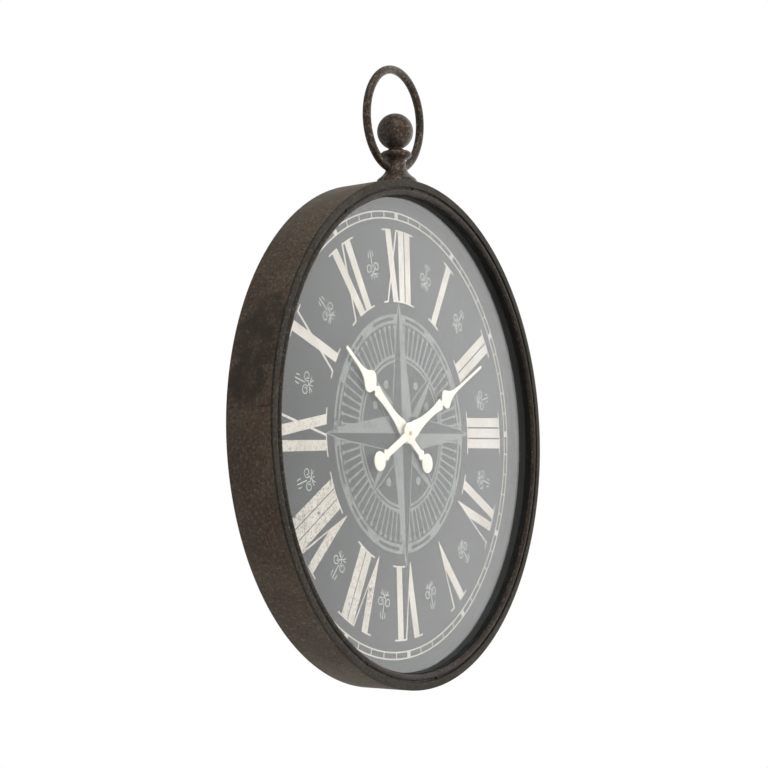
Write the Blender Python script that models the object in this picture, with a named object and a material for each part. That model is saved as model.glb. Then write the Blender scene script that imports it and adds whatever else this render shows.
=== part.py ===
"""Pocket-watch style wall clock, 600 mm across, with a glazed front, a turned pendant and a quartz movement.

Units are metres. The dial faces -Y, +X is to the right of a person reading it and +Z is up.
The origin is the nail: the top of the keyhole slot, on the plane of the wall. The dial axis is AXIS_DROP
below it. Depths are measured forward from the wall, so a depth d is at y = -d.
"""

from math import asin, cos, degrees, pi, radians, sin

import bmesh
import bpy
from mathutils import Vector

MM = 0.001
GAP = 0.3 * MM
MERGE = 1e-6

# ---- driving dimensions ------------------------------------------------------------------------------
CASE_RADIUS = 300 * MM
CASE_DEPTH = 60.3 * MM
SHEET = 1.6 * MM
RIM_WIDTH = 9 * MM
RIM_SHEET = 2 * MM
DIAL_DEPTH = 25.4 * MM
GLASS_FRONT = 48.2 * MM
GLASS_THICKNESS = 3 * MM
SIGHT_RADIUS = 281.8 * MM
AXIS_DROP = 262 * MM
ROUND = 64

BOARD_THICKNESS = 5.3 * MM
PRINT_THICKNESS = 0.3 * MM
BOARD_RADIUS = 291.5 * MM
PRINT_RADIUS = 290 * MM
GLASS_RADIUS = 288 * MM

BALL_RADIUS = 22 * MM
BALL_HEIGHT = 365.3 * MM
PENDANT_DEPTH = 29.3 * MM
BOW_RADIUS = 60 * MM
BOW_ROD = 5 * MM
BOW_HEIGHT = 380 * MM
BOW_DEPTH = 28.3 * MM
BOW_LEAN = radians(-4)
BOW_STEPS = 48
BOW_SIDES = 8
TURNED = 24

HOUR_ANGLE = radians(308.5)
MINUTE_ANGLE = radians(64.3)
HAND_SHEET = 1 * MM
HOUR_HAND_DEPTH = DIAL_DEPTH + 5.2 * MM
MINUTE_HAND_DEPTH = DIAL_DEPTH + 10.2 * MM

TRAIN_MODULE = 0.25 * MM
MOTION_MODULE = 0.35 * MM
BOX_BACK = 1.9 * MM
BOX_FRONT = 18 * MM
BOX_WALL = 1.5 * MM
BOX_HALF = 28 * MM
COVER_SHEET = 1.4 * MM
BUSHING_RADIUS = 4 * MM
BAY_FLOOR = -27 * MM
BAY_CEILING = -11.7 * MM
TRAIN_FLOOR = -10.2 * MM


# ---- helpers -----------------------------------------------------------------------------------------
def clear_scene():
    for thing in list(bpy.data.objects):
        bpy.data.objects.remove(thing, do_unlink=True)


def material(name, colour, roughness, metallic=0.0, alpha=1.0):
    made = bpy.data.materials.new(name)
    made.use_nodes = True
    shader = made.node_tree.nodes["Principled BSDF"]
    shader.inputs["Base Color"].default_value = (*colour, 1)
    shader.inputs["Roughness"].default_value = roughness
    shader.inputs["Metallic"].default_value = metallic
    shader.inputs["Alpha"].default_value = alpha
    made.diffuse_color = (*colour, alpha)
    return made


def made_object(name, bm, finish, parent, smooth=True):
    """Closes a bmesh into a named object under its parent empty."""
    bmesh.ops.remove_doubles(bm, verts=bm.verts, dist=MERGE)
    bmesh.ops.recalc_face_normals(bm, faces=bm.faces)
    mesh = bpy.data.meshes.new(name)
    bm.to_mesh(mesh)
    bm.free()
    if smooth:
        mesh.shade_smooth()
        mesh.set_sharp_from_angle(angle=radians(30))
    thing = bpy.data.objects.new(name, mesh)
    if finish:
        mesh.materials.append(finish)
    bpy.context.scene.collection.objects.link(thing)
    thing.parent = parent
    return thing


def empty(name, place, parent=None):
    made = bpy.data.objects.new(name, None)
    bpy.context.scene.collection.objects.link(made)
    made.location = place
    made.parent = parent
    return made


def lathe(bm, profile, direction, place, segments, closed):
    """Turns (radius, along) points about a line through place; a closed profile makes a ring."""
    along_axis = Vector(direction).normalized()
    outward = along_axis.orthogonal().normalized()
    centre = Vector(place)
    points = [bm.verts.new(centre + outward * radius + along_axis * along) for radius, along in profile]
    ends = points[1:] + points[:1] if closed else points[1:]
    edges = [bm.edges.new(pair) for pair in zip(points, ends)]
    bmesh.ops.spin(
        bm,
        geom=points + edges,
        cent=centre,
        axis=along_axis,
        angle=2 * pi,
        steps=segments,
        use_merge=True,
        use_duplicate=False,
    )
    bmesh.ops.remove_doubles(bm, verts=bm.verts, dist=MERGE)


def ring(name, finish, parent, profile, direction=(0, -1, 0), place=(0, 0, 0), segments=ROUND):
    bm = bmesh.new()
    lathe(bm, profile, direction, place, segments, closed=True)
    return made_object(name, bm, finish, parent)


def turned(name, finish, parent, profile, direction=(0, -1, 0), place=(0, 0, 0), segments=TURNED):
    """A solid of revolution whose profile starts and ends on its axis."""
    bm = bmesh.new()
    lathe(bm, profile, direction, place, segments, closed=False)
    return made_object(name, bm, finish, parent)


def rod_profile(radius, start, end):
    return [(0, start), (radius, start), (radius, end), (0, end)]


def rod(name, finish, parent, radius, start, end, direction=(0, -1, 0), place=(0, 0, 0), segments=16):
    return turned(name, finish, parent, rod_profile(radius, start, end), direction, place, segments)


def plate(name, finish, parent, outline, back, front):
    """An outline of (x, z) points given a thickness between two depths."""
    bm = bmesh.new()
    face = bm.faces.new([bm.verts.new((x, -back, z)) for x, z in outline])
    swept = bmesh.ops.extrude_face_region(bm, geom=[face])
    moved = [part for part in swept["geom"] if isinstance(part, bmesh.types.BMVert)]
    bmesh.ops.translate(bm, verts=moved, vec=(0, back - front, 0))
    return made_object(name, bm, finish, parent, smooth=False)


def block(name, finish, parent, x_span, z_span, back, front):
    left, right = x_span
    bottom, top = z_span
    corners = [(left, bottom), (right, bottom), (right, top), (left, top)]
    return plate(name, finish, parent, corners, back, front)


def change(target, tool, operation):
    """Adds a Boolean whose tool stays in the file as a hidden guide."""
    tool.hide_render = True
    tool.display_type = "WIRE"
    modifier = target.modifiers.new(tool.name, "BOOLEAN")
    modifier.operation = operation
    modifier.object = tool
    return target


def cut(target, *tools):
    for tool in tools:
        change(target, tool, "DIFFERENCE")
    return target


def join(target, *tools):
    for tool in tools:
        change(target, tool, "UNION")
    return target


def around(centre, radius, start, end, count):
    """Points on an arc, in degrees, as (x, z) or (along, half width)."""
    steps = [radians(start + (end - start) * i / (count - 1)) for i in range(count)]
    return [(centre[0] + radius * cos(a), centre[1] + radius * sin(a)) for a in steps]


# ---- finishes ----------------------------------------------------------------------------------------
def make_finishes():
    return {
        "bronze": material("dark_bronze_paint", (0.060, 0.050, 0.038), 0.62, 0.35),
        "rim": material("worn_rim_paint", (0.095, 0.088, 0.072), 0.55, 0.35),
        "bead": material("brown_bead_paint", (0.075, 0.056, 0.044), 0.5, 0.3),
        "black": material("black_paint", (0.012, 0.011, 0.010), 0.7),
        "glass": material("clear_glass", (0.85, 0.90, 0.90), 0.03, 0.0, 0.25),
        "print": material("charcoal_print", (0.060, 0.066, 0.066), 0.75),
        "board": material("fibre_board", (0.34, 0.22, 0.13), 0.85),
        "ivory": material("ivory_enamel", (0.86, 0.82, 0.73), 0.45),
        "brass": material("brass", (0.72, 0.53, 0.24), 0.3, 1.0),
        "steel": material("zinc_steel", (0.55, 0.56, 0.57), 0.35, 0.9),
        "plastic": material("black_plastic", (0.02, 0.02, 0.022), 0.5),
        "white": material("white_plastic", (0.75, 0.75, 0.72), 0.5),
        "rubber": material("black_rubber", (0.03, 0.03, 0.03), 0.9),
        "copper": material("enamelled_copper", (0.55, 0.20, 0.08), 0.35, 0.9),
        "laminate": material("green_laminate", (0.02, 0.16, 0.07), 0.5),
        "cell": material("battery_sleeve", (0.03, 0.05, 0.10), 0.35, 0.3),
    }


# ---- case --------------------------------------------------------------------------------------------
RIM_BACK = CASE_DEPTH - RIM_SHEET
RIM_INNER = CASE_RADIUS - RIM_WIDTH
BAND_INNER = CASE_RADIUS - SHEET
BEAD_RADIUS = 3.7 * MM
BEAD_BASE = 56.5 * MM
BEAD_BACK = 55.4 * MM
BEAD_FLANGE = BEAD_BACK + 2.5 * MM
BRAD_COUNT = 12
BRAD_RADIUS = 288.4 * MM
FIRST_BRAD = radians(28)
BOLT_RADIUS = 4 * MM
BOLT_WAY = BOLT_RADIUS + GAP


def clock_angle(angle, radius):
    """(x, z) of a point at a clockwise angle from twelve o'clock."""
    return radius * sin(angle), radius * cos(angle)


def make_case(finish, axis):
    hem = 5 * MM
    hem_sheet = 1.2 * MM
    band = ring(
        "case_band",
        finish["bronze"],
        axis,
        [
            (CASE_RADIUS, 0),
            (CASE_RADIUS, RIM_BACK - GAP),
            (BAND_INNER, RIM_BACK - GAP),
            (BAND_INNER, hem_sheet),
            (CASE_RADIUS - hem, hem_sheet),
            (CASE_RADIUS - hem, 0),
        ],
    )
    pendant_foot = (0, -PENDANT_DEPTH, 0)
    bolt_way = rod("band_bolt_way", None, axis, BOLT_WAY, 285 * MM, 310 * MM, (0, 0, 1), pendant_foot)
    cut(band, bolt_way)
    chamfer = 0.5 * MM
    ring(
        "front_rim",
        finish["rim"],
        axis,
        [
            (RIM_INNER, RIM_BACK),
            (CASE_RADIUS, RIM_BACK),
            (CASE_RADIUS, CASE_DEPTH - chamfer),
            (CASE_RADIUS - chamfer, CASE_DEPTH),
            (RIM_INNER + chamfer, CASE_DEPTH),
            (RIM_INNER, CASE_DEPTH - chamfer),
        ],
    )


def make_bead_and_brads(finish, axis):
    centre = (SIGHT_RADIUS + BEAD_RADIUS, BEAD_BASE)
    flange_angle = degrees(asin((BEAD_FLANGE - BEAD_BASE) / BEAD_RADIUS))
    section = [(296 * MM, BEAD_BACK), (296 * MM, BEAD_FLANGE)]
    section += around(centre, BEAD_RADIUS, flange_angle, 180, 6)
    section += [(SIGHT_RADIUS, BEAD_BACK)]
    bead = ring("bead_ring", finish["bead"], axis, section)
    ways = bmesh.new()
    head = 59.1 * MM
    seat = head - GAP
    beyond = 1 * MM
    way = [
        (0, BEAD_BACK - beyond),
        (0.9 * MM, BEAD_BACK - beyond),
        (0.9 * MM, seat),
        (1.8 * MM, seat),
        (1.8 * MM, CASE_DEPTH + beyond),
        (0, CASE_DEPTH + beyond),
    ]
    for k in range(BRAD_COUNT):
        x, z = clock_angle(FIRST_BRAD + 2 * pi * k / BRAD_COUNT, BRAD_RADIUS)
        lathe(ways, way, (0, -1, 0), (x, 0, z), 6, closed=False)
        turned(
            f"brad_{k + 1:02d}",
            finish["rim"],
            axis,
            [
                (0, BEAD_BACK + 0.2 * MM),
                (0.5 * MM, BEAD_BACK + 0.8 * MM),
                (0.5 * MM, head),
                (1.4 * MM, head),
                (1.1 * MM, head + 0.6 * MM),
                (0, head + 0.8 * MM),
            ],
            place=(x, 0, z),
            segments=6,
        )
    cut(bead, made_object("brad_ways", ways, None, axis))


def make_collar_and_glass(finish, axis):
    wall = 1.4 * MM
    flange = 1.2 * MM
    flange_radius = BAND_INNER - 0.6 * MM
    inner = SIGHT_RADIUS - 0.2 * MM
    collar_back = GLASS_FRONT + GAP
    collar_front = BEAD_BACK - GAP
    lip = 0.7 * MM
    lip_depth = 1.5 * MM
    ring(
        "inner_collar",
        finish["black"],
        axis,
        [
            (inner, collar_back),
            (inner + wall, collar_back),
            (inner + wall, collar_front - flange),
            (flange_radius, collar_front - flange),
            (flange_radius, collar_front),
            (inner - lip, collar_front),
            (inner - lip, collar_front - lip_depth),
            (inner, collar_front - lip_depth),
        ],
    )
    pane = rod_profile(GLASS_RADIUS, GLASS_FRONT - GLASS_THICKNESS, GLASS_FRONT)
    turned("glass", finish["glass"], axis, pane, segments=ROUND)
    spacer_inner = SIGHT_RADIUS + 0.6 * MM
    spacer_back = DIAL_DEPTH + GAP
    spacer_front = GLASS_FRONT - GLASS_THICKNESS - GAP
    ring(
        "spacer_ring",
        finish["black"],
        axis,
        [
            (spacer_inner, spacer_back),
            (GLASS_RADIUS, spacer_back),
            (GLASS_RADIUS, spacer_front),
            (spacer_inner, spacer_front),
        ],
    )


# ---- dial --------------------------------------------------------------------------------------------
BOARD_FRONT = DIAL_DEPTH - PRINT_THICKNESS - GAP
BOARD_BACK = BOARD_FRONT - BOARD_THICKNESS
TAB_COUNT = 4
TAB_SHEET = 1.2 * MM
TAB_REACH = 20 * MM
TAB_WIDTH = 16 * MM
SCREW_RADIUS = 283 * MM
SCREW_WAY = 1.8 * MM


def make_dial(finish, axis):
    hole = BUSHING_RADIUS + GAP
    board = ring(
        "dial_board",
        finish["board"],
        axis,
        [
            (hole, BOARD_BACK),
            (BOARD_RADIUS, BOARD_BACK),
            (BOARD_RADIUS, BOARD_FRONT),
            (hole, BOARD_FRONT),
        ],
    )
    ring(
        "dial_print",
        finish["print"],
        axis,
        [
            (hole, DIAL_DEPTH - PRINT_THICKNESS),
            (PRINT_RADIUS, DIAL_DEPTH - PRINT_THICKNESS),
            (PRINT_RADIUS, DIAL_DEPTH),
            (hole, DIAL_DEPTH),
        ],
    )
    pilots = bmesh.new()
    pilot = rod_profile(SCREW_WAY, BOARD_BACK - 1 * MM, BOARD_FRONT - 1.2 * MM)
    head_front = BOARD_BACK - GAP - TAB_SHEET - GAP
    for k in range(TAB_COUNT):
        angle = radians(45 + 90 * k)
        x, z = clock_angle(angle, SCREW_RADIUS)
        lathe(pilots, pilot, (0, -1, 0), (x, 0, z), 12, closed=False)
        make_tab(finish, axis, k + 1, angle)
        turned(
            f"tab_screw_{k + 1}",
            finish["steel"],
            axis,
            [
                (0, head_front - 1.8 * MM),
                (1.9 * MM, head_front - 1.6 * MM),
                (3.2 * MM, head_front - 0.5 * MM),
                (3.2 * MM, head_front),
                (1.4 * MM, head_front),
                (1.4 * MM, BOARD_FRONT - 2.6 * MM),
                (0, BOARD_FRONT - 1.6 * MM),
            ],
            place=(x, 0, z),
            segments=12,
        )
    cut(board, made_object("board_pilots", pilots, None, axis))


def make_tab(finish, axis, number, angle):
    """A bent steel strip: one leg on the band, one behind the board, with a hole for its screw."""
    outer = BAND_INNER - 1.5 * GAP
    front = BOARD_BACK - GAP
    leg = 9 * MM
    section = [
        (outer - TAB_REACH, front),
        (outer, front),
        (outer, front - leg),
        (outer - TAB_SHEET, front - leg),
        (outer - TAB_SHEET, front - TAB_SHEET),
        (outer - TAB_REACH, front - TAB_SHEET),
    ]
    radial = Vector((sin(angle), 0, cos(angle)))
    across = Vector((cos(angle), 0, -sin(angle)))
    bm = bmesh.new()
    corners = []
    for radius, depth in section:
        corners.append(bm.verts.new(radial * radius + Vector((0, -depth, 0)) - across * TAB_WIDTH / 2))
    face = bm.faces.new(corners)
    swept = bmesh.ops.extrude_face_region(bm, geom=[face])
    moved = [part for part in swept["geom"] if isinstance(part, bmesh.types.BMVert)]
    bmesh.ops.translate(bm, verts=moved, vec=across * TAB_WIDTH)
    tab = made_object(f"retainer_tab_{number}", bm, finish["steel"], axis, smooth=False)
    x, z = clock_angle(angle, SCREW_RADIUS)
    span = (front - 4 * MM, front + 2 * MM)
    cut(tab, rod(f"tab_way_{number}", None, axis, SCREW_WAY, *span, place=(x, 0, z), segments=12))


# ---- hanger ------------------------------------------------------------------------------------------
def make_hanger(finish, axis):
    """A plate inside the top of the case whose keyhole slot ends at the nail."""
    half = 25 * MM
    heights = (243 * MM, 297 * MM)
    back = 1.5 * MM
    front = 3.0 * MM
    entry = 5 * MM
    slot = 2.6 * MM
    entry_height = AXIS_DROP - 9 * MM
    hanger = block("hanger_plate", finish["steel"], axis, (-half, half), heights, back, front)
    meeting = degrees(asin(slot / entry))
    keyhole = around((0, entry_height), entry, 90 + meeting, 450 - meeting, 15)
    keyhole += around((0, AXIS_DROP), slot, 0, 180, 9)
    cut(hanger, plate("keyhole", None, axis, keyhole, back - 2 * MM, front + 2 * MM))


# ---- pendant and bow ---------------------------------------------------------------------------------
PENDANT_TOP = 344.6 * MM
PENDANT_NECK = 8.7 * MM
PENDANT_PROFILE = (
    (24.5, 305.5),
    (22.5, 308),
    (19.3, 310),
    (15.6, 313.5),
    (13.4, 317),
    (12.6, 320.5),
    (11.6, 325),
    (11.2, 328),
    (12.6, 331),
    (16.8, 333),
    (18.9, 335.4),
    (18.9, 337.6),
    (17.0, 339.8),
    (12.4, 341.6),
    (9.2, 343.2),
    (8.7, 344.6),
)


def bow_mesh(rod_radius, sides):
    """The bow: a ring of round rod whose plane leans a little forward from the wall."""
    bm = bmesh.new()
    section = around((BOW_RADIUS, 0), rod_radius, 0, 360 - 360 / sides, sides)
    lean = (0, -cos(BOW_LEAN), sin(BOW_LEAN))
    lathe(bm, section, lean, (0, -BOW_DEPTH, BOW_HEIGHT), BOW_STEPS, closed=True)
    return bm


def make_pendant(finish, axis):
    place = (0, -PENDANT_DEPTH, 0)
    up = (0, 0, 1)
    base = CASE_RADIUS - 2 * MM
    profile = [(0, base), (25 * MM, base)]
    profile += [(radius * MM, height * MM) for radius, height in PENDANT_PROFILE]
    profile += [(0, PENDANT_TOP)]
    pendant = turned("pendant", finish["bronze"], axis, profile, up, place)
    saddle_profile = rod_profile(CASE_RADIUS + GAP, -5 * MM, 70 * MM)
    saddle = turned("saddle", None, axis, saddle_profile, segments=ROUND)
    bolt_way = rod("pendant_bolt_way", None, axis, BOLT_WAY, 290 * MM, 312.4 * MM, up, place)
    tunnel = made_object("bow_tunnel", bow_mesh(BOW_ROD + 2 * GAP, BOW_SIDES), None, axis)
    cut(pendant, saddle, bolt_way, tunnel)
    made_object("bow_ring", bow_mesh(BOW_ROD, BOW_SIDES), finish["bronze"], axis)
    make_ball(finish, axis, place)
    head_top = BAND_INNER - GAP
    head_profile = rod_profile(6.5 * MM, head_top - 4.6 * MM, head_top)
    hexagon = turned("bolt_hexagon", None, axis, head_profile, up, place, segments=6)
    shank = (head_top - 2 * MM, 312 * MM)
    join(rod("pendant_bolt", finish["steel"], axis, BOLT_RADIUS, *shank, up, place), hexagon)


def make_ball(finish, axis, place):
    start = PENDANT_TOP + GAP
    meeting = degrees(asin(PENDANT_NECK / BALL_RADIUS))
    profile = [(0, start), (PENDANT_NECK, start)]
    for along, radius in around((0, 0), BALL_RADIUS, 180 - meeting, 0, 11):
        profile.append((radius, BALL_HEIGHT + along))
    turned("ball_finial", finish["bronze"], axis, profile, (0, 0, 1), place)


# ---- hands -------------------------------------------------------------------------------------------
HOUR_TAIL = (-59, 12)
MINUTE_TAIL = (-75.2, 11.5)
HOUR_BLADE = [
    (14.5, 9.6), (22, 7.4), (32, 5.7), (46, 5.0), (62, 5.4), (72, 6.3), (78.5, 7.2), (80, 6.9), (81.5, 4.0),
    (84.5, 3.8), (86, 6.6), (89.5, 11.4), (94, 13.8), (98, 14.0), (103, 10.9), (108, 7.0), (114, 4.5),
    (122, 3.1), (135, 2.5), (156, 2.3),
]
MINUTE_BLADE = [
    (15, 9.8), (22, 7.9), (33, 6.1), (48, 4.9), (62, 4.9), (74, 5.9), (82, 7.0), (83.5, 6.7), (85, 3.6),
    (88, 3.3), (89.5, 5.8), (93.5, 10.6), (97.5, 12.2), (101, 11.3), (106, 8.0), (112, 5.2), (119, 3.4),
    (130, 2.3), (150, 1.8), (200.6, 1.6),
]


def hand_outline(blade, tail, hub):
    """Half outline in millimetres, from the tail disc to the tip, as (along, half width), then mirrored."""
    tail_centre, disc = tail
    half = around((tail_centre, 0), disc, 172, 24, 8)
    collar = tail_centre + disc
    half += [(collar + 0.6, 3.4), (collar + 2.4, 6.4), (collar + 6.4, 6.8), (collar + 8.4, 4.4)]
    half += around((0, 0), hub, 160, 55, 6)
    half += blade
    return half + [(along, -width) for along, width in reversed(half)]


def make_hand(name, finish, pivot, outline, angle, depth, bore):
    points = []
    for along, width in outline:
        points.append(
            (
                (along * sin(angle) + width * cos(angle)) * MM,
                (along * cos(angle) - width * sin(angle)) * MM,
            )
        )
    hand = plate(name, finish, pivot, points, depth, depth + HAND_SHEET)
    way = rod(name + "_bore", None, pivot, bore, depth - 2 * MM, depth + 3 * MM)
    return cut(hand, way)


# ---- movement ----------------------------------------------------------------------------------------
MINUTE_TEETH = 64
THIRD_PINION, THIRD_TEETH = 8, 60
FOURTH_PINION, FOURTH_TEETH = 8, 60
FIFTH_PINION, FIFTH_TEETH = 10, 50
ROTOR_PINION = 10
CANNON_TEETH = 10
MOTION_TEETH, MOTION_PINION = 30, 8
HOUR_TEETH = 32
SETTING_TEETH = 12
TOOTH_ABOVE, TOOTH_BELOW, BACKLASH = 0.8, 1.2, 0.2
ARBOR_WAY = 1.9 * MM
PIVOT_WAY = 0.7 * MM
SETTING_WAY = 1.2 * MM


def gear_outline(teeth, module, phase):
    """Straight-flanked teeth, four points each; phase is the angle of one tooth's middle."""
    pitch = module * teeth / 2
    half = pi * module / 4 * (1 - BACKLASH)
    root = (pitch - TOOTH_BELOW * module, half + 0.15 * TOOTH_BELOW * module)
    tip = (pitch + TOOTH_ABOVE * module, half - 0.36 * TOOTH_ABOVE * module)
    points = []
    for k in range(teeth):
        middle = phase + 2 * pi * k / teeth
        for (radius, width), side in ((root, -1), (tip, -1), (tip, 1), (root, 1)):
            a = middle + side * width / radius
            points.append((radius * cos(a), radius * sin(a)))
    return points


def in_mesh(phase, teeth, other_teeth, direction):
    """The phase of a gear lying in this direction, so that its gap meets the first gear's tooth."""
    share = (phase - direction) / (2 * pi / teeth)
    return direction + pi - (share + 0.5) * 2 * pi / other_teeth


def beside(place, distance, direction):
    return place[0] + distance * cos(direction), place[1] + distance * sin(direction)


def gear(name, finish, pivot, layers, arbor):
    """One wheel: toothed layers (outline, back, front) and plain ones (radius, back, front) on an arbor."""
    radius, start, end = arbor
    wheel = rod(name, finish, pivot, radius, start, end, segments=8)
    for number, (shape, back, front) in enumerate(layers):
        tool = f"{name}_layer_{number}"
        if isinstance(shape, float):
            join(wheel, rod(tool, None, pivot, shape, back, front, segments=16))
        else:
            join(wheel, plate(tool, None, pivot, shape, back, front))
    return wheel


def train_layout():
    """(x, z) of each axis on the dial axis' own plane, and each gear's phase at rest."""
    places, phases = {"minute": (0.0, 0.0)}, {"minute": 0.0, "cannon": 0.0}
    steps = (
        ("third", "minute", MINUTE_TEETH, THIRD_PINION, TRAIN_MODULE, 60),
        ("fourth", "third", THIRD_TEETH, FOURTH_PINION, TRAIN_MODULE, 150),
        ("fifth", "fourth", FOURTH_TEETH, FIFTH_PINION, TRAIN_MODULE, 165),
        ("rotor", "fifth", FIFTH_TEETH, ROTOR_PINION, TRAIN_MODULE, 215),
        ("motion", "minute", CANNON_TEETH, MOTION_TEETH, MOTION_MODULE, 200),
        ("setting", "motion", MOTION_TEETH, SETTING_TEETH, MOTION_MODULE, 170),
    )
    for name, driver, teeth, other_teeth, module, heading in steps:
        direction = radians(heading)
        places[name] = beside(places[driver], module * (teeth + other_teeth) / 2, direction)
        phases[name] = in_mesh(phases[driver], teeth, other_teeth, direction)
    back_to_hour = radians(20)
    phases["hour"] = in_mesh(phases["motion"], MOTION_PINION, HOUR_TEETH, back_to_hour)
    return places, phases


def make_train(finish, axis):
    places, phases = train_layout()
    pivots = {name: empty(name + "_axis", (x, 0, z), axis) for name, (x, z) in places.items()}
    pivots["hour"] = empty("hour_axis", (0, 0, 0), axis)
    back, front = 2.5 * MM, 17.6 * MM

    def wheel(who, teeth, start, end, module=TRAIN_MODULE):
        return gear_outline(teeth, module, phases[who]), start * MM, end * MM

    thin = 0.4 * MM
    plain = (thin, back, front)
    third = [wheel("third", THIRD_PINION, 9.4, 12.2), wheel("third", THIRD_TEETH, 9.0, 9.8)]
    gear("third_wheel", finish["brass"], pivots["third"], third, plain)
    fourth = [wheel("fourth", FOURTH_PINION, 7.4, 10.2), wheel("fourth", FOURTH_TEETH, 7.0, 7.8)]
    gear("fourth_wheel", finish["white"], pivots["fourth"], fourth, plain)
    fifth = [wheel("fifth", FIFTH_PINION, 5.6, 8.2), wheel("fifth", FIFTH_TEETH, 5.2, 6.0)]
    gear("fifth_wheel", finish["white"], pivots["fifth"], fifth, plain)
    magnet = (3.0 * MM, 7.2 * MM, 11.2 * MM)
    gear("rotor", finish["steel"], pivots["rotor"], [wheel("rotor", ROTOR_PINION, 4.8, 7.4), magnet], plain)
    minute = [
        wheel("minute", MINUTE_TEETH, 10.8, 11.8),
        wheel("cannon", CANNON_TEETH, 11.6, 14.2, MOTION_MODULE),
        (1.6 * MM, 14.0 * MM, 37.5 * MM),
    ]
    gear("minute_wheel", finish["brass"], pivots["minute"], minute, (thin, back, 20 * MM))
    motion = [
        wheel("motion", MOTION_TEETH, 12.7, 13.7, MOTION_MODULE),
        wheel("motion", MOTION_PINION, 13.5, 16.2, MOTION_MODULE),
    ]
    gear("motion_wheel", finish["white"], pivots["motion"], motion, (thin, 12.5 * MM, front))
    setting = [wheel("setting", SETTING_TEETH, 12.7, 13.7, MOTION_MODULE)]
    gear("setting_arbor", finish["white"], pivots["setting"], setting, (0.9 * MM, 2.1 * MM, front))
    pipe = (2.6 * MM, 14.6 * MM, 31.9 * MM)
    hour_layer = [wheel("hour", HOUR_TEETH, 15.0, 16.2, MOTION_MODULE)]
    hour = gear("hour_wheel", finish["white"], pivots["hour"], hour_layer, pipe)
    cut(hour, rod("hour_pipe_bore", None, pivots["hour"], ARBOR_WAY, 13 * MM, 34 * MM))
    make_knob(finish, pivots["setting"])
    return places, pivots


def make_knob(finish, pivot):
    back, front = 0.4 * MM, 1.6 * MM
    radius = 5.6 * MM
    bevelled = radius - 0.4 * MM
    profile = [(0, back), (bevelled, back), (radius, back + 0.3 * MM), (radius, front), (0, front)]
    knob = turned("setting_knob", finish["plastic"], pivot, profile)
    grips = bmesh.new()
    for k in range(10):
        x, z = beside((0, 0), 6.1 * MM, 2 * pi * k / 10)
        lathe(grips, rod_profile(1.0 * MM, 0, 2 * MM), (0, -1, 0), (x, 0, z), 8, closed=False)
    cut(knob, made_object("knob_grips", grips, None, pivot))


def make_movement_box(finish, axis, places):
    inner = BOX_HALF - BOX_WALL
    floor = BOX_FRONT - 1.2 * MM
    full = (-BOX_HALF, BOX_HALF)
    width = (-inner, inner)
    heights = (BAY_FLOOR - BOX_WALL, BOX_HALF)
    box = block("movement_case", finish["plastic"], axis, full, heights, BOX_BACK, BOX_FRONT)
    cavity = block("train_cavity", None, axis, width, (TRAIN_FLOOR, inner), 0, floor)
    bay = block("battery_bay", None, axis, width, (BAY_FLOOR, BAY_CEILING), 0, floor)
    nose = rod("bushing_way", None, axis, BUSHING_RADIUS + GAP, 10 * MM, 30 * MM, segments=20)
    cover_width = (GAP - inner, inner - GAP)
    cover_heights = (TRAIN_FLOOR + GAP, inner - GAP)
    cover_front = BOX_BACK + COVER_SHEET
    lid = (cover_width, cover_heights, BOX_BACK, cover_front)
    cover = block("movement_cover", finish["plastic"], axis, *lid)
    sockets, cover_sockets = bmesh.new(), bmesh.new()
    for name in ("third", "fourth", "fifth", "rotor", "motion", "setting"):
        x, z = places[name]
        radius = SETTING_WAY if name == "setting" else PIVOT_WAY
        pocket = rod_profile(radius, floor - 1 * MM, BOX_FRONT - 0.2 * MM)
        lathe(sockets, pocket, (0, -1, 0), (x, 0, z), 10, closed=False)
    for name in ("minute", "third", "fourth", "fifth", "rotor", "setting"):
        x, z = places[name]
        radius, start = (SETTING_WAY, 0) if name == "setting" else (PIVOT_WAY, BOX_BACK + 0.3 * MM)
        pocket = rod_profile(radius, start, cover_front + 1.4 * MM)
        lathe(cover_sockets, pocket, (0, -1, 0), (x, 0, z), 10, closed=False)
    cut(box, cavity, bay, nose, made_object("front_sockets", sockets, None, axis))
    cut(cover, made_object("cover_sockets", cover_sockets, None, axis))


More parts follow.
